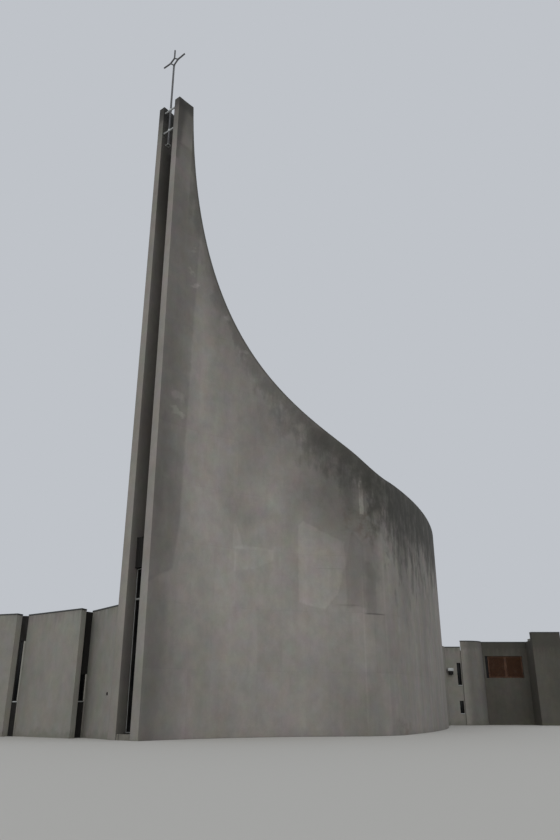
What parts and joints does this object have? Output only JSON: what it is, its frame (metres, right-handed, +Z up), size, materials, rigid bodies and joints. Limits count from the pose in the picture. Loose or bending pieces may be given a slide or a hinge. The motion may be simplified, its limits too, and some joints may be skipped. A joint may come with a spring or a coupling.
{
  "type": "modern church building",
  "caption": "Modern concrete church: two tall sail-like walls rise to a slotted prow with a slim cross, with low saw-tooth and annex wings round the nave.",
  "frame": {"origin": "middle of the building's footprint box, at ground level", "axes": "+Z up; +X along the street front, towards the annex; -Y faces the street; the nave's axis runs 51.6 degrees from +X, from the prow at the front left to the apse at the back right"},
  "size_m": [36.89, 27.8664, 33.64],
  "materials": {
    "sail_concrete": "weathered board-smooth concrete, dark rain stains under the top edge",
    "wing_concrete": "smooth weathered concrete panels",
    "roof_membrane": "matt grey roofing membrane",
    "floor_slab": "honed stone paving",
    "dark_panel": "satin dark bronze",
    "pale_metal": "satin, weathered",
    "window_glass": "dark, dusty",
    "mast_steel": "matt grey paint",
    "shutter_wood": "red-brown stained boards",
    "door_wood": "dark stained boards"
  },
  "bodies": {
    "root": {"sail_right_1": "sail_concrete", "sail_right_2": "sail_concrete", "sail_right_3": "sail_concrete", "sail_right_4": "sail_concrete", "sail_right_5": "sail_concrete", "sail_left_1": "sail_concrete", "sail_left_2": "sail_concrete", "sail_left_3": "sail_concrete", "sail_left_4": "sail_concrete", "sail_left_5": "sail_concrete", "slot_web": "sail_concrete", "wing_panel_1": "wing_concrete", "wing_panel_2": "wing_concrete", "wing_panel_3": "wing_concrete", "wing_panel_4": "wing_concrete", "wing_wall_west": "wing_concrete", "wing_wall_back": "wing_concrete", "annex_wall_link": "wing_concrete", "annex_wall_slits": "wing_concrete", "annex_drum": "wing_concrete", "annex_wall_window": "wing_concrete", "annex_wall_east": "wing_concrete", "annex_wall_end": "wing_concrete", "annex_wall_back": "wing_concrete", "annex_wall_west": "wing_concrete", "nave_roof_sweep": "roof_membrane", "nave_roof_level": "roof_membrane", "wing_roof": "roof_membrane", "annex_roof": "roof_membrane", "nave_floor": "floor_slab", "wing_floor": "floor_slab", "annex_floor": "floor_slab", "slot_head_panel": "dark_panel", "wing_slit_1": "dark_panel", "wing_slit_2": "dark_panel", "wing_slit_3": "dark_panel", "slot_frame": "pale_metal", "entrance_frame": "pale_metal", "slot_glass_lower": "window_glass", "slot_glass_upper": "window_glass", "mast_cross": "mast_steel", "annex_lantern": "mast_steel", "annex_shutter": "shutter_wood", "entrance_door_left": "door_wood", "entrance_door_right": "door_wood"}
  },
  "joints": []
}
